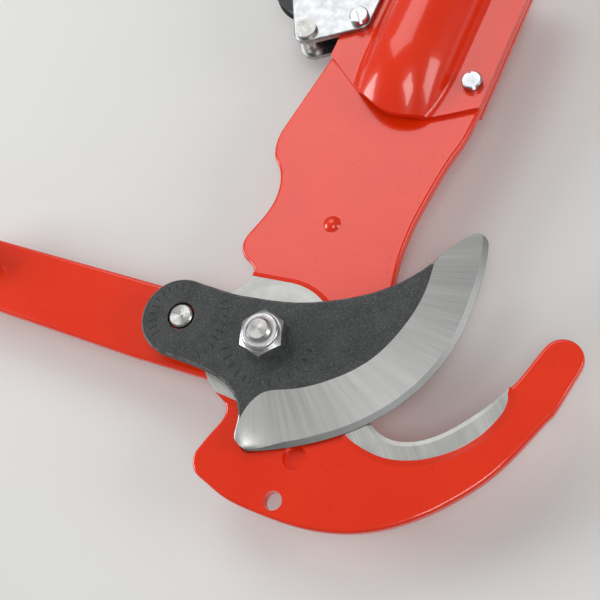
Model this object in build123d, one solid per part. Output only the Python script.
from build123d import *
import os
from math import acos, atan2, ceil, cos, degrees, hypot, radians, sin, tan

# Rope-worked pruner head for a pole.  Millimetres.
# Origin: centre of the pole socket's mouth, on the socket's axis.
# +X runs along the pole towards the hook, +Z is square to the hook plate on the blade's side,
# and Z = 0 is the middle of the plate's thickness.

# ---------------------------------------------------------------- driving sizes
# Pole socket: two pressed half-shells clamped on the forked end of the plate
pole_diameter = 37.0
pole_clearance = 0.1            # radial, shell to pole
socket_depth = 62.0             # straight part that holds the pole
nose_length = 30.0              # part of the shell that slopes down to its open nose
nose_opening = 5.5              # height of the open nose above the plate
nose_narrowing = 3.0            # how much each side draws in at the nose
shell_thickness = 2.3
flange_width = 15.6
crease_radius = 3.0             # outside radius where bulge and flange meet
pole_stop_gap = 4.0             # from the end of the straight part to the end of the fork's slot

# Hook plate
plate_thickness = 5.0
plate_edge_radius = 1.3
pivot_reach = 200.0             # from the socket's mouth to the pivot, along the pole
pivot_offset = -5.0             # pivot to the pole's axis
land_height = 1.0               # ground faces stand this far above the painted face
land_shoulder = 2.2             # width of the slope around a ground face
boss_radius = 26.5              # ground face round the pivot
lobe_radius = 29.5              # edge of the plate below the pivot
throat_bevel = 1.8              # width of the ground bevel along the throat's edge
bevel_depth = 0.7
hook_tip_radius = 7.9
saw_hole_diameter = 7.5         # bolt hole for a clip-on saw
saw_boss_diameter = 9.6         # half-sheared bosses that locate the saw
saw_boss_depth = 2.0

# Blade
blade_thickness = 5.0
blade_edge_radius = 1.2
bevel_land = 1.1                # what the main bevel would leave at the edge
edge_bevel_width = 2.3          # second, steeper bevel
edge_land = 0.25                # what it leaves at the edge
tail_radius = 16.5              # round end of the blade's tail
tail_reach = 41.4               # pivot to the tail's centre
drive_hole_clearance = 0.9      # radial, the blade's tail hole round the drive pin

# Lever
lever_thickness = 5.0
lever_edge_radius = 1.8
lever_reach = 185.0             # pivot to the pulley's axle
lever_lean = 3.9                # degrees the lever leans from square to the pole
lever_head_radius = 20.0
lever_waist_radius = 16.8
lever_end_radius = 15.5

# Pivot
pivot_bolt_diameter = 10.0
bush_wall = 3.0
pivot_nut_width = 17.0          # across flats
pivot_nut_height = 10.0
bolt_end = 2.0                  # bolt standing out of the nut
bolt_head_height = 6.4
drive_pin_diameter = 10.0
drive_pin_reach = 40.1          # pivot to drive pin
drive_pin_angle = -86.0         # degrees from +X at rest
pin_proud = 0.6                 # drive pin's end above the blade

# Return spring
wire_diameter = 2.5
coil_radius = 13.0              # to the middle of the wire
coil_turns = 3                  # whole turns, the legs add the rest
coil_gap = 0.2                  # between turns
peg_diameter = 8.0
peg_head_diameter = 7.5
peg_head_height = 1.8
peg_x, peg_y = -56.0, 2.0       # from the pivot
spring_hook_reach = 49.7        # pivot to where the moving leg hooks the lever

# Pulleys
rope_diameter = 6.0
pulley_radius = 20.0
pulley_side_gap = 0.3
axle_diameter = 8.0
axle_nut_width = 13.0
pulley_bush_wall = 2.0
cheek_thickness = 2.5
head_pulley_x = 31.0
anchor_pin_diameter = 6.0

# Socket screws
screw_diameter = 5.0
screw_head_diameter = 8.5
screw_head_height = 3.3
screw_nut_width = 8.0
screw_nut_height = 4.0
screw_end = 1.5                 # screw standing out of its nut
upper_screw_x = (18.0, 68.0)
lower_screw_x = (12.0, 50.0)

# Clearances
running_gap = 0.05              # radial, shaft in hole
face_gap = 0.1                  # between faces that slide on each other
hole_clearance = 0.1            # radial, bolt in a plain hole

# ---------------------------------------------------------------- sizes that follow
half_plate = plate_thickness / 2
land_top = half_plate + land_height
socket_radius = pole_diameter / 2 + pole_clearance
bulge_radius = socket_radius + shell_thickness
flange_half = bulge_radius + flange_width
shell_end = socket_depth + nose_length
flange_top = half_plate + shell_thickness

blade_back = land_top + face_gap
blade_front = blade_back + blade_thickness
lever_front = -half_plate - face_gap
lever_back = lever_front - lever_thickness

bolt_radius = pivot_bolt_diameter / 2
bush_radius = bolt_radius + bush_wall
wire_radius = wire_diameter / 2
coil_pitch = wire_diameter + coil_gap
leg_gap = 0.15                  # wire to lever

pulley_width = plate_thickness + 2 * shell_thickness - 2 * pulley_side_gap
pulley_bush_radius = axle_diameter / 2 + pulley_bush_wall
screw_y = flange_half - flange_width / 2 + 1.0

pivot = Vector(pivot_reach, pivot_offset)
hinge = Pos(pivot.X, pivot.Y, 0)


def from_pivot(x, y):
    """A plan point given from the pivot."""
    return (pivot.X + x, pivot.Y + y)


def polar(radius, angle):
    """Plan point at a radius and an angle in degrees from the pivot."""
    return (radius * cos(radians(angle)), radius * sin(radians(angle)))


def upright(radius, low, high):
    """Round bar along Z between two heights."""
    return Pos(0, 0, low) * Cylinder(radius, high - low, align=(Align.CENTER, Align.CENTER, Align.MIN))


def ring(outer, inner, low, high):
    """Tube along Z between two heights."""
    return upright(outer, low, high) - upright(inner, low - 1, high + 1)


def plate_from(outline, low, high):
    """Flat piece cut to an outline, between two heights."""
    return extrude(Pos(0, 0, low) * outline, high - low)


def only_solid(shape):
    """The largest solid of a result, as a plain solid."""
    return shape.solids().sort_by(SortBy.VOLUME)[-1]


# ---------------------------------------------------------------- hook plate
# All outline points are given from the pivot.
HOOK_TIP = (-31.2, 108.7)
TIP_START, TIP_SWEEP = 80.0, 167.0
LOBE_START, LOBE_END = 227.0, 339.5
NECK_LOWER = [(-75.0, -32.8), (-68.0, -28.8), (-59.0, -27.4), (-48.0, -29.6)]
HOOK_BACK = [(62.4, 6.0), (63.3, 22.0), (61.8, 42.0), (55.5, 62.5), (44.0, 79.5), (30.0, 92.5), (12.0, 103.7), (-8.0, 111.7)]
THROAT = [(-22.0, 97.6), (-8.0, 91.5), (3.0, 84.2), (11.5, 76.8), (17.5, 68.0), (19.2, 59.5), (15.4, 49.8), (7.0, 43.6), (-6.0, 40.9)]
NECK_UPPER = [(-27.0, 40.0), (-40.5, 37.0), (-52.0, 35.2), (-65.0, 34.8), (-80.0, 36.0), (-97.0, 38.3)]
STRIP_BORDER = [(-13.4, 94.0), (-8.0, 96.0), (0.0, 94.3), (8.0, 90.2), (15.0, 84.2), (20.6, 77.0), (24.8, 68.5),
                (26.6, 60.0), (26.0, 51.5), (23.4, 43.5), (12.0, 35.5), (-6.0, 33.5), (-20.0, 46.0)]
THROAT_MIDDLE = (-6.0, 64.0)
SAW_BOSSES = [(38.7, 28.2), (39.0, 9.0)]
SAW_HOLE = (56.7, 27.2)


def plate_outline():
    """Edge of the hook plate: fork sides, waisted neck, pivot lobe, heel, hook and throat."""
    tip = Vector(*from_pivot(*HOOK_TIP))
    mouth_low = (0, -flange_half)
    mouth_high = (0, flange_half)
    side_low = Line(mouth_low, (shell_end - 26, -flange_half))
    slope = Line(side_low @ 1, from_pivot(-93.0, -38.6))
    corner = TangentArc([slope @ 1, from_pivot(-80.2, -37.2)], tangent=slope % 1)
    notch = TangentArc([from_pivot(-41.0, -31.9), from_pivot(-31.8, -29.3)], tangent=(0.96, -0.28))
    waist = Spline(
        corner @ 1,
        *[from_pivot(*p) for p in NECK_LOWER],
        notch @ 0,
        tangents=[corner % 1, notch % 0],
    )
    lobe = CenterArc(pivot, lobe_radius, LOBE_START, LOBE_END - LOBE_START)
    relief = Spline(notch @ 1, from_pivot(-29.4, -24.6), from_pivot(-25.6, -21.2), lobe @ 0,
                    tangents=[notch % 1, lobe % 0])
    root = TangentArc([lobe @ 1, from_pivot(32.8, -6.3)], tangent=lobe % 1)
    heel = TangentArc([from_pivot(49.5, -10.9), from_pivot(59.3, -5.2)], tangent=(0.96, -0.28))
    heel_edge = Spline(root @ 1, from_pivot(40.0, -7.9), heel @ 0, tangents=[root % 1, heel % 0])
    tip_arc = CenterArc(tip, hook_tip_radius, TIP_START, TIP_SWEEP)
    back = Spline(heel @ 1, *[from_pivot(*p) for p in HOOK_BACK], tip_arc @ 0,
                  tangents=[heel % 1, tip_arc % 0])
    side_high = Line((shell_end - 20, flange_half), mouth_high)
    throat = Spline(
        tip_arc @ 1,
        *[from_pivot(*p) for p in THROAT + NECK_UPPER],
        side_high @ 0,
        tangents=[tip_arc % 1, side_high % 0],
    )
    mouth = Line(mouth_high, mouth_low)
    return make_face([side_low, slope, corner, waist, notch, relief, lobe, root, heel_edge, heel,
                      back, tip_arc, throat, side_high, mouth])


def boss_outline(grow):
    """Ground face round the pivot, running out over the lobe; grow widens it all round."""
    skirt = Polygon(
        from_pivot(-boss_radius - grow, -2.0),
        from_pivot(-boss_radius + 4.0 - grow, -lobe_radius - 4.0),
        from_pivot(boss_radius - 1.0 + grow, -lobe_radius - 4.0),
        from_pivot(boss_radius + grow, -2.0),
        align=None,
    )
    disc = Pos(pivot.X, pivot.Y) * Circle(boss_radius + grow)
    return disc + skirt


def strip_outline(grow):
    """Ground face along the throat, closed across the open mouth; grow moves its border outwards."""
    middle = Vector(*THROAT_MIDDLE)
    border_points = []
    for x, y in STRIP_BORDER:
        outwards = (Vector(x, y) - middle).normalized() * grow
        border_points.append(from_pivot(x + outwards.X, y + outwards.Y))
    border = Spline(*border_points)
    close = Polyline(border @ 1, from_pivot(-26.0, 70.0), from_pivot(-22.0, 88.0), border @ 0)
    return make_face([border, close])


def boss_land():
    """The boss with its sloped shoulder, standing on the plate's front."""
    slope = degrees(atan2(land_shoulder, land_height))
    return extrude(Pos(0, 0, half_plate) * boss_outline(land_shoulder), land_height, taper=slope)


def strip_land():
    """The throat's strip with its sloped shoulder."""
    foot = Pos(0, 0, half_plate) * strip_outline(land_shoulder)
    top = Pos(0, 0, land_top) * strip_outline(0)
    return loft([foot, top], ruled=True)


def throat_bevel_cutter():
    """Ground bevel along the cutting part of the throat."""
    middle = Vector(*THROAT_MIDDLE)
    faces = []
    for grow, height in ((-0.1, land_top - bevel_depth), (throat_bevel, land_top + 0.01)):
        line = []
        for x, y in [STRIP_BORDER[0], *THROAT[1:]]:
            outwards = (Vector(x, y) - middle).normalized() * grow
            line.append(from_pivot(x + outwards.X, y + outwards.Y))
        edge = Spline(*line)
        close = Polyline(edge @ 1, from_pivot(-20.0, 55.0), from_pivot(-22.0, 88.0), edge @ 0)
        faces.append(Pos(0, 0, height) * make_face([edge, close]))
    return loft(faces, ruled=True)


def hook_plate():
    outline = plate_outline()
    blank = plate_from(outline, -half_plate, half_plate)
    rims = blank.edges().filter_by_position(Axis.Z, half_plate, half_plate)
    rims += blank.edges().filter_by_position(Axis.Z, -half_plate, -half_plate)
    mouth_edges = rims.filter_by_position(Axis.X, -0.1, 0.1)
    body = fillet([e for e in rims if e not in mouth_edges], plate_edge_radius)
    lands = boss_land() + strip_land()
    ledge = plate_from(boss_outline(0) + strip_outline(0), 0, land_top)
    full = plate_from(outline, -half_plate, land_top)
    body += (lands + ledge) & full
    body -= throat_bevel_cutter()
    slot_end = socket_depth + pole_stop_gap
    slot = Pos(slot_end / 2, 0) * Rectangle(slot_end, 2 * socket_radius)
    slot = fillet(slot.vertices().group_by(Axis.X)[-1], pole_stop_gap)
    body -= plate_from(slot + Pos(-5, 0) * Rectangle(10, 2 * socket_radius), -plate_thickness, plate_thickness)
    body -= hinge * upright(bush_radius + running_gap, -plate_thickness, 2 * plate_thickness)
    body -= hinge * Pos(peg_x, peg_y) * upright(peg_diameter / 2 - 1, -plate_thickness, plate_thickness)
    body -= hinge * Pos(*SAW_HOLE) * upright(saw_hole_diameter / 2, -plate_thickness, plate_thickness)
    for x, y in SAW_BOSSES:
        body -= hinge * Pos(x, y) * upright(saw_boss_diameter / 2, half_plate - saw_boss_depth, land_top)
        body += hinge * Pos(x, y) * upright(saw_boss_diameter / 2 - 0.2, -half_plate - saw_boss_depth, -half_plate)
    for x in upper_screw_x:
        body -= Pos(x, screw_y) * upright(screw_diameter / 2 + hole_clearance, -plate_thickness, plate_thickness)
    for x in lower_screw_x:
        body -= Pos(x, -screw_y) * upright(screw_diameter / 2 + hole_clearance, -plate_thickness, plate_thickness)
    return only_solid(body)


# ---------------------------------------------------------------- pole socket
# The nose's edge in plan: distance back from the nose's end, and share of the flange's half-width
NOSE_EDGE = [(13.4, -0.64), (5.9, -0.345), (0.0, 0.08), (3.9, 0.466), (9.5, 0.767)]
NOSE_STATIONS = 4
NOSE_OVERRUN = 1.2              # sections go past the nose's edge, which is trimmed in plan
SEATED = (Align.CENTER, Align.CENTER, Align.MIN)


def shell_plan():
    """Plan outline of a half-shell: straight flanges and a bowed nose edge."""
    low = (shell_end - 22.5, -flange_half)
    high = (shell_end - 14.0, flange_half)
    edge = Spline(low, *[(shell_end - back, share * flange_half) for back, share in NOSE_EDGE], high)
    sides = Polyline(high, (0, flange_half), (0, -flange_half), low)
    return make_face([edge, sides])


def bulge(wall):
    """Round socket that flattens towards its nose and past it; wall is added all round."""
    radius = socket_radius + wall
    straight = Pos(-1, 0, 0) * Rot(0, 90, 0) * upright(radius, 0, socket_depth + 1)
    end_height = half_plate + nose_opening + wall
    sections = []
    for i in range(NOSE_STATIONS + 1):
        t = NOSE_OVERRUN * i / NOSE_STATIONS
        height = radius - (radius - end_height) * t ** 2
        width = radius - nose_narrowing * t ** 2
        station = Plane(origin=(socket_depth + nose_length * t, 0, 0), x_dir=(0, 1, 0), z_dir=(1, 0, 0))
        sections.append(station * Ellipse(width, height))
    return straight + loft(sections)


def socket_shell():
    """The front half-shell, flange face down on the plate's front."""
    reach = 2 * shell_end
    above_plate = Pos(0, 0, half_plate) * Box(reach, 2 * flange_half, bulge_radius, align=SEATED)
    body = Pos(0, 0, half_plate) * Box(reach, 2 * flange_half, shell_thickness, align=SEATED)
    body += bulge(shell_thickness) & above_plate
    creases = [e for e in body.edges().filter_by_position(Axis.Z, flange_top - 0.01, flange_top + 0.01)
               if bulge_radius / 2 < abs(e.center().Y) < bulge_radius and e.length > nose_length / 2]
    body = fillet(creases, crease_radius)
    body -= bulge(0)
    body &= plate_from(shell_plan(), half_plate, 2 * bulge_radius)
    for x in upper_screw_x:
        body -= Pos(x, screw_y) * upright(screw_diameter / 2 + hole_clearance, 0, 2 * flange_top)
    for x in lower_screw_x:
        body -= Pos(x, -screw_y) * upright(screw_diameter / 2 + hole_clearance, 0, 2 * flange_top)
    return only_solid(body)


# ---------------------------------------------------------------- fasteners
def hexagon(width, turn=0):
    return RegularPolygon(width / 2, 6, major_radius=False, rotation=turn)


def hex_blank(width, height, turn=0):
    """Hexagonal head with its upper corners turned off at 30 degrees."""
    corner = width / 2 / cos(radians(30))
    rim = 0.96 * width / 2
    drop = (corner - rim) * tan(radians(30))
    crown = upright(corner, 0, height - drop)
    crown += Pos(0, 0, height - drop) * Cone(corner, rim, drop, align=(Align.CENTER, Align.CENTER, Align.MIN))
    return extrude(hexagon(width, turn), height) & crown


def shank(radius, low, high, lead):
    """Plain bar whose upper end is chamfered by lead."""
    bar = upright(radius, low, high)
    return chamfer(bar.edges().sort_by(Axis.Z)[-1], lead)


def hex_bolt(radius, width, head, length):
    """Bolt pointing up, head's seat at Z = 0."""
    return Rot(180, 0, 0) * hex_blank(width, head) + shank(radius, -head / 2, length, radius / 5)


def hex_nut(width, radius, height, turn=0):
    """Plain nut, chamfered on its upper side, seated at Z = 0."""
    return hex_blank(width, height, turn) - upright(radius, -1, height + 1)


# ---------------------------------------------------------------- socket fasteners
def slotted_screw(length):
    """Slotted cheese-head screw pointing down, head's seat at Z = 0."""
    head = upright(screw_head_diameter / 2, 0, screw_head_height)
    head = fillet(head.edges().sort_by(Axis.Z)[-1], screw_head_height / 5)
    slot = Pos(0, 0, screw_head_height) * Rot(0, 0, 35) * Box(2 * screw_head_diameter, screw_diameter / 4,
                                                             screw_head_height)
    return head - slot + Rot(180, 0, 0) * shank(screw_diameter / 2, -screw_head_height / 3, length, 0.6)


washer_thickness = 1.0
washer_diameter = 2 * screw_diameter
upper_stack = flange_top                           # half of the clamped thickness
lower_stack = flange_top + cheek_thickness


def screw_sites():
    """Place and half-stack of each socket screw."""
    return ([(x, screw_y, upper_stack) for x in upper_screw_x]
            + [(x, -screw_y, lower_stack) for x in lower_screw_x])


def screw_length(stack):
    return 2 * stack + washer_thickness + screw_nut_height + screw_end


def socket_screws(sites):
    return Compound([Pos(x, y, stack) * slotted_screw(screw_length(stack)) for x, y, stack in sites])


def socket_washers(sites):
    washer = ring(washer_diameter / 2, screw_diameter / 2 + hole_clearance, -washer_thickness, 0)
    return Compound([Pos(x, y, -stack) * washer for x, y, stack in sites])


def socket_nuts(sites):
    nut = Rot(180, 0, 0) * hex_nut(screw_nut_width, screw_diameter / 2, screw_nut_height, 20)
    return Compound([Pos(x, y, -stack - washer_thickness) * nut for x, y, stack in sites])


# ---------------------------------------------------------------- head pulley
head_pulley_y = -flange_half - pulley_radius - rope_diameter
anchor_reach = pulley_radius + rope_diameter + anchor_pin_diameter
anchor_x = head_pulley_x + anchor_reach * cos(radians(20))
anchor_y = head_pulley_y + anchor_reach * sin(radians(20))


def pulley_cheek():
    """Side plate of the head pulley, clamped under the lower row of socket screws."""
    pads = [
        Pos(lower_screw_x[0], -screw_y) * Circle(screw_diameter),
        Pos(lower_screw_x[1], -screw_y) * Circle(screw_diameter),
        Pos(anchor_x, anchor_y) * Circle(anchor_pin_diameter),
        Pos(head_pulley_x, head_pulley_y) * Circle(1.3 * axle_diameter),
    ]
    outline = make_hull([e for pad in pads for e in pad.edges()])
    body = plate_from(outline, flange_top, flange_top + cheek_thickness)
    body = fillet(body.edges().filter_by_position(Axis.Z, flange_top + cheek_thickness - 0.01,
                                                  flange_top + cheek_thickness + 0.01), cheek_thickness / 4)
    for x in lower_screw_x:
        body -= Pos(x, -screw_y) * upright(screw_diameter / 2 + hole_clearance, 0, 2 * flange_top)
    body -= Pos(anchor_x, anchor_y) * upright(anchor_pin_diameter / 2, 0, 4 * flange_top)
    body -= Pos(head_pulley_x, head_pulley_y) * upright(axle_diameter / 2 + hole_clearance, 0, 4 * flange_top)
    return only_solid(body)


def pulley():
    """Grooved wheel on Z, centred on Z = 0."""
    half = pulley_width / 2
    groove = rope_diameter / 2 + 0.2
    wheel = upright(pulley_radius, -half, half)
    wheel = fillet(wheel.edges().filter_by(GeomType.CIRCLE), 0.6)
    wheel -= Torus(pulley_radius - 0.2, groove)
    for side in (-1, 1):
        dish = ring(pulley_radius - 2 * groove - 0.8, pulley_bush_radius + 3, half - 1.2, half + 1)
        wheel -= dish if side > 0 else Rot(180, 0, 0) * dish
    return wheel - upright(pulley_bush_radius + running_gap, -2 * half, 2 * half)


def anchor_pin():
    """Headed pin through both cheeks with a waist where the rope's eye sits."""
    reach = flange_top + cheek_thickness
    pin = upright(anchor_pin_diameter / 2, -reach - 1.5, reach)
    pin += upright(anchor_pin_diameter * 0.8, reach, reach + 2)
    pin += upright(anchor_pin_diameter * 0.7, -reach - 2, -reach)
    pin += upright(anchor_pin_diameter * 0.8, flange_top - 1.5, flange_top)
    pin += upright(anchor_pin_diameter * 0.8, -flange_top, -flange_top + 1.5)
    return pin


# ---------------------------------------------------------------- blade
# Points along the cutting edge, and the point of the bevel's upper border that each one faces.
CUTTING_EDGE = [(-72.2, 64.6), (-60.0, 68.6), (-42.0, 70.8), (-22.0, 70.0), (0.0, 62.5), (18.0, 49.2),
                (33.0, 30.3), (39.5, 18.5), (41.9, 13.4), (43.4, 9.6)]
BEVEL_BORDER = [(-66.0, 48.6), (-50.0, 51.0), (-36.0, 52.0), (-20.0, 49.0), (-6.0, 42.8), (7.0, 30.7),
                (16.0, 16.2), (20.6, 7.4), (26.0, 4.3), (44.5, 7.2)]
BLADE_SPINE = [(-62.0, 56.6), (-52.0, 51.0), (-42.0, 44.0), (-32.0, 33.0), (-23.5, 18.0), (-17.5, 2.0), (-14.3, -15.0)]
HEEL_UNDERSIDE = [(41.6, 4.9), (33.5, 2.3), (27.4, -1.4), (22.6, -8.5), (20.3, -18.0)]
tail_angle = -85.3              # degrees from +X at rest, pivot to the tail's centre
TIP_ROUND, HEEL_ROUND = 4.0, 1.6


def edge_line(outwards):
    """Cutting edge moved away from the bevel's border by a distance."""
    points = []
    for (ex, ey), (bx, by) in zip(CUTTING_EDGE, BEVEL_BORDER):
        reach = hypot(ex - bx, ey - by)
        points.append(from_pivot(ex + (ex - bx) / reach * outwards, ey + (ey - by) / reach * outwards))
    return Spline(*points)


def beyond(line):
    """Everything on the cutting side of a line that runs from tip to heel."""
    return make_face([line, Polyline(line @ 1, from_pivot(90, 20), from_pivot(60, 110), from_pivot(-90, 110),
                                     from_pivot(-95, 60), line @ 0)])


def blade():
    tail = Vector(*polar(tail_reach, tail_angle))
    edge = edge_line(0)
    tail_left = from_pivot(tail.X - tail_radius, tail.Y)
    tail_right = from_pivot(tail.X + tail_radius, tail.Y)
    spine = Spline(edge @ 0, *[from_pivot(*p) for p in BLADE_SPINE], tail_left,
                   tangents=[(0.75, -0.66), (0.0, -1.0)])
    end = ThreePointArc(tail_left, from_pivot(tail.X, tail.Y - tail_radius), tail_right)
    heel = Spline(tail_right, *[from_pivot(*p) for p in reversed(HEEL_UNDERSIDE)], edge @ 1,
                  tangents=[(0.0, 1.0), (0.35, 0.93)])
    body = plate_from(make_face([edge, spine, end, heel]), blade_back, blade_front)
    tip = body.edges().filter_by(Axis.Z).sort_by(Axis.X)[0]
    body = fillet(tip, TIP_ROUND)
    rims = body.edges().filter_by_position(Axis.Z, blade_front - 0.01, blade_front + 0.01)
    body = fillet(rims, blade_edge_radius)
    low = blade_back + bevel_land
    main = loft([Pos(0, 0, low) * beyond(edge_line(0.15)),
                 Pos(0, 0, blade_front + 0.001) * beyond(Spline(*[from_pivot(*p) for p in BEVEL_BORDER]))],
                ruled=True)
    second = loft([Pos(0, 0, blade_back + edge_land) * beyond(edge_line(0.1)),
                   Pos(0, 0, low + 0.5) * beyond(edge_line(-edge_bevel_width))], ruled=True)
    body = body - main - second
    body -= hinge * upright(bolt_radius + hole_clearance, 0, 2 * blade_front)
    drive = Pos(*polar(drive_pin_reach, drive_pin_angle))
    body -= hinge * drive * upright(drive_pin_diameter / 2 + drive_hole_clearance, 0, 2 * blade_front)
    return only_solid(body)


# ---------------------------------------------------------------- lever
lever_angle = -90.0 + lever_lean
axle_place = Vector(*polar(lever_reach, lever_angle))
waist_place = Vector(7.2, -60.0)


def lever_arm():
    """Flat bar from the pivot to the pulley, with rolled edges."""
    head = Circle(lever_head_radius)
    waist = Pos(waist_place.X, waist_place.Y) * Circle(lever_waist_radius)
    end = Pos(axle_place.X, axle_place.Y) * Circle(lever_end_radius)
    outline = make_hull(head.edges() + waist.edges()) + make_hull(waist.edges() + end.edges())
    body = plate_from(outline, lever_back, lever_front)
    body = fillet(body.edges() - body.edges().filter_by(Axis.Z), lever_edge_radius)
    body -= upright(bolt_radius + hole_clearance, 2 * lever_back, 0)
    body -= Pos(*polar(drive_pin_reach, drive_pin_angle)) * upright(drive_pin_diameter / 2, 2 * lever_back, 0)
    body -= Pos(axle_place.X, axle_place.Y) * upright(axle_diameter / 2 + hole_clearance, 2 * lever_back, 0)
    body -= Pos(rivet_place.X, rivet_place.Y) * upright(rivet_radius - 1.5, 2 * lever_back, 0)
    return hinge * only_solid(body)


rivet_radius = 4.0
rivet_place = Vector(*polar(lever_reach - pulley_radius - rope_diameter - rivet_radius, lever_angle))
lever_pulley_low = lever_front + pulley_side_gap
lever_pulley_top = lever_pulley_low + pulley_width + pulley_side_gap


def lever_pulley_cheek():
    """Front side plate of the lever's pulley, held by the axle bolt and a shouldered rivet."""
    pads = [
        Pos(axle_place.X, axle_place.Y) * Circle(1.3 * axle_diameter),
        Pos(rivet_place.X, rivet_place.Y) * Circle(1.8 * rivet_radius),
    ]
    outline = make_hull([e for pad in pads for e in pad.edges()])
    top = lever_pulley_top + cheek_thickness
    body = plate_from(outline, lever_pulley_top, top)
    body = fillet(body.edges().filter_by_position(Axis.Z, top - 0.01, top + 0.01), cheek_thickness / 4)
    body -= Pos(axle_place.X, axle_place.Y) * upright(axle_diameter / 2 + hole_clearance, 0, 2 * top)
    body -= Pos(rivet_place.X, rivet_place.Y) * upright(rivet_radius - 1.5, 0, 2 * top)
    return hinge * only_solid(body)


def cheek_rivet():
    """Shouldered rivet that spaces the cheek from the lever."""
    top = lever_pulley_top + cheek_thickness
    body = upright(rivet_radius, lever_front, lever_pulley_top)
    body += upright(rivet_radius - 1.5, lever_back, top)
    for seat, way in ((top, 1), (lever_back, -1)):
        dome = Sphere(rivet_radius) & Pos(0, 0, way * rivet_radius) * Box(9, 9, 2 * rivet_radius)
        body += Pos(0, 0, seat - way * 2.2) * dome & Pos(0, 0, seat + way * 5) * Box(9, 9, 10)
    return hinge * Pos(rivet_place.X, rivet_place.Y) * body


# ---------------------------------------------------------------- pivot
nut_turn = 18.0                 # degrees, a corner of the nut from +X
collar_height = 2.0
insert_radius = 6.5
washer_height = 2.0
sleeve_radius = coil_radius - wire_radius - 2.6


def pivot_nut():
    """Self-locking nut: a hexagon with a turned collar that holds a nylon ring."""
    hexagon_height = pivot_nut_height - collar_height
    body = hex_blank(pivot_nut_width, hexagon_height, nut_turn)
    collar = upright(insert_radius + 1.1, hexagon_height / 2, pivot_nut_height)
    body += fillet(collar.edges().sort_by(Axis.Z)[-1], 0.9)
    body -= upright(bolt_radius, -1, pivot_nut_height + 1)
    body -= upright(insert_radius, hexagon_height, pivot_nut_height - 0.5)
    body -= upright(bolt_radius + 0.8, hexagon_height, pivot_nut_height + 1)
    return hinge * Pos(0, 0, blade_front) * body


def nut_insert():
    hexagon_height = pivot_nut_height - collar_height
    return hinge * ring(insert_radius, bolt_radius, blade_front + hexagon_height,
                        blade_front + pivot_nut_height - 0.5)


# ---------------------------------------------------------------- return spring
groove_radius = peg_diameter / 2 - 1.0
wire_front = lever_back - leg_gap - wire_radius


def lever_side():
    """Unit normal of the lever's trailing side, and the direction down that side."""
    along = waist_place.normalized()
    across = Vector(along.Y, -along.X)
    lean = (lever_head_radius - lever_waist_radius) / waist_place.length
    normal = along * lean + across * (1 - lean ** 2) ** 0.5
    return normal, Vector(-normal.Y, normal.X)


def spring_points():
    """Seat on the peg, hook on the lever, and the coil's two ends as angles in degrees."""
    seat = Vector(peg_x, peg_y - groove_radius - wire_radius - leg_gap)
    normal, down = lever_side()
    hook = normal * (lever_head_radius + wire_radius + leg_gap) + down * spring_hook_reach
    start = degrees(atan2(seat.Y, seat.X)) - degrees(acos(coil_radius / seat.length))
    end = degrees(atan2(hook.Y, hook.X)) + degrees(acos(coil_radius / hook.length))
    return seat, hook, start, end


spring_seat, spring_hook, coil_start, coil_end = spring_points()
coil_sweep = (coil_start - coil_end) % 360 + 360 * coil_turns
coil_height = coil_pitch * coil_sweep / 360
wire_back = wire_front - coil_height
sleeve_back = wire_back - wire_radius - leg_gap
bolt_seat = sleeve_back - washer_height


def wire(*points):
    """Straight runs of spring wire with rounded corners."""
    body = None
    for start, end in zip(points, points[1:]):
        run = Plane(origin=start, z_dir=end - start) * upright(wire_radius, 0, (end - start).length)
        body = run if body is None else body + run
    for corner in points[:-1]:
        body += Pos(corner) * Sphere(wire_radius)
    return body


def return_spring():
    """Torsion spring: the fixed leg bears on the peg, the moving leg hooks the lever's side."""
    helix = Pos(0, 0, wire_back) * Rot(0, 0, coil_start) * Helix(coil_pitch, coil_height, coil_radius, lefthand=True)
    section = Plane(origin=helix @ 0, z_dir=helix % 0) * Circle(wire_radius)
    coil = sweep(section, path=helix)
    seat = Vector(spring_seat.X, spring_seat.Y, wire_back)
    fixed_direction = (seat - helix @ 0).normalized()
    overrun = seat + fixed_direction * 1.5 * groove_radius
    curl = overrun + Vector(fixed_direction.X, -4 * fixed_direction.X - fixed_direction.Y, 0).normalized() * 4
    hook = Vector(spring_hook.X, spring_hook.Y, wire_front)
    hook_end = Vector(hook.X, hook.Y, lever_front - wire_radius)
    return hinge * (coil + wire(helix @ 0, overrun, curl) + wire(helix @ 1, hook, hook_end))


def spring_peg():
    """Peg riveted through the plate; its domed end shows on the front."""
    end = wire_back - wire_radius - 2.5
    body = upright(peg_diameter / 2, end, -half_plate) + upright(peg_diameter / 2 + 2, -half_plate - 2, -half_plate)
    body -= ring(peg_diameter, groove_radius, wire_back - wire_radius - 2 * leg_gap,
                 wire_back + wire_radius + 2 * leg_gap)
    body += upright(peg_diameter / 2 - 1, -half_plate, half_plate)
    head = peg_head_diameter / 2
    dome_radius = (head ** 2 + peg_head_height ** 2) / (2 * peg_head_height)
    dome = Pos(0, 0, half_plate + peg_head_height - dome_radius) * Sphere(dome_radius)
    body += dome & upright(head, half_plate, half_plate + 2 * peg_head_height)
    return hinge * Pos(peg_x, peg_y) * body


# ---------------------------------------------------------------- assembly
def axle_bolt(place, seat, grip, upside_down):
    """Pulley axle bolt with its head at one side of the grip, and the nut on the other."""
    radius = axle_diameter / 2
    head = axle_nut_width * 0.4
    nut_height = axle_nut_width / 2
    bolt = hex_bolt(radius, axle_nut_width, head, grip + nut_height + 1.5)
    nut = Pos(0, 0, grip) * hex_nut(axle_nut_width, radius, nut_height)
    turn = Rot(180, 0, 0) if upside_down else Rot(0, 0, 0)
    return place * Pos(0, 0, seat) * turn * bolt, place * Pos(0, 0, seat) * turn * nut


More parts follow.
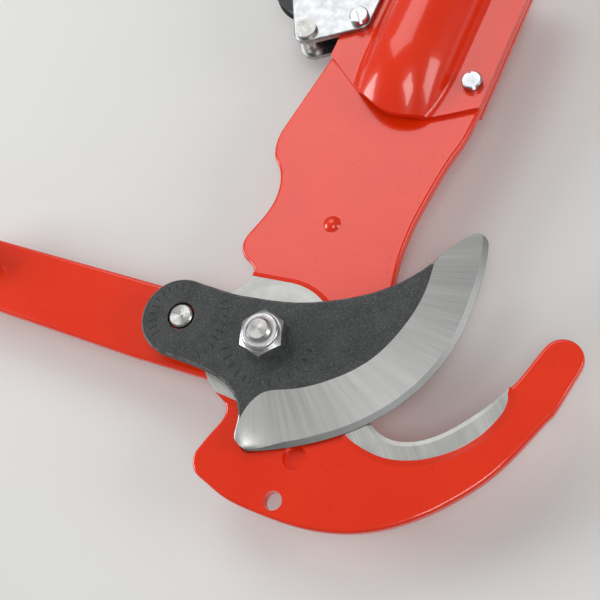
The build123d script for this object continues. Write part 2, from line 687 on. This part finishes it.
def build():
    """Every node by name."""
    sites = screw_sites()
    front_shell = socket_shell()
    front_cheek = pulley_cheek()
    head_axle = Pos(head_pulley_x, head_pulley_y)
    lever_axle = hinge * Pos(axle_place.X, axle_place.Y)
    head_reach = flange_top + cheek_thickness
    lever_grip = lever_pulley_top + cheek_thickness - lever_back
    head_bolt, head_nut = axle_bolt(head_axle, head_reach, 2 * head_reach, True)
    lever_bolt, lever_nut = axle_bolt(lever_axle, lever_back, lever_grip, False)
    bush_bore = axle_diameter / 2 + hole_clearance
    bolt_length = blade_front + pivot_nut_height + bolt_end - bolt_seat
    drive = hinge * Pos(*polar(drive_pin_reach, drive_pin_angle))
    return {
        "hook_plate": hook_plate(),
        "front_socket_shell": front_shell,
        "rear_socket_shell": mirror(front_shell, about=Plane.XY),
        "socket_screws": socket_screws(sites[:2]),
        "cheek_screws": socket_screws(sites[2:]),
        "socket_washers": socket_washers(sites),
        "socket_nuts": socket_nuts(sites),
        "front_pulley_cheek": front_cheek,
        "rear_pulley_cheek": mirror(front_cheek, about=Plane.XY),
        "head_pulley": head_axle * pulley(),
        "head_pulley_bush": head_axle * ring(pulley_bush_radius, bush_bore, -flange_top, flange_top),
        "head_pulley_bolt": head_bolt,
        "head_pulley_nut": head_nut,
        "rope_anchor_pin": Pos(anchor_x, anchor_y) * anchor_pin(),
        "spring_peg": spring_peg(),
        "return_spring": return_spring(),
        "spring_sleeve": hinge * ring(sleeve_radius, bolt_radius + hole_clearance, sleeve_back, lever_back),
        "spring_washer": hinge * ring(coil_radius + wire_diameter, bolt_radius + hole_clearance, bolt_seat,
                                      sleeve_back),
        "pivot_bush": hinge * ring(bush_radius, bolt_radius + hole_clearance, lever_front, blade_back),
        "pivot_bolt": hinge * Pos(0, 0, bolt_seat) * hex_bolt(bolt_radius, pivot_nut_width, bolt_head_height,
                                                              bolt_length),
        "pivot_nut": pivot_nut(),
        "nut_insert": nut_insert(),
        "blade": blade(),
        "lever_arm": lever_arm(),
        "drive_pin": drive * shank(drive_pin_diameter / 2, lever_back, blade_front + pin_proud, pin_proud),
        "lever_pulley": lever_axle * Pos(0, 0, (lever_front + lever_pulley_top) / 2) * pulley(),
        "lever_pulley_bush": lever_axle * ring(pulley_bush_radius, bush_bore, lever_front, lever_pulley_top),
        "lever_pulley_bolt": lever_bolt,
        "lever_pulley_nut": lever_nut,
        "lever_pulley_cheek": lever_pulley_cheek(),
        "cheek_rivet": cheek_rivet(),
    }


os.makedirs("parts", exist_ok=True)
for name, shape in build().items():
    export_step(shape, f"parts/{name}.step")
    box = shape.bounding_box()
    print(f"{name:20s} {len(shape.solids())} solids {shape.volume:10.0f} mm3",
          [round(v, 1) for v in (*box.min, *box.max)])
print("coil angle", round(coil_sweep, 1), "height", round(coil_height, 2))
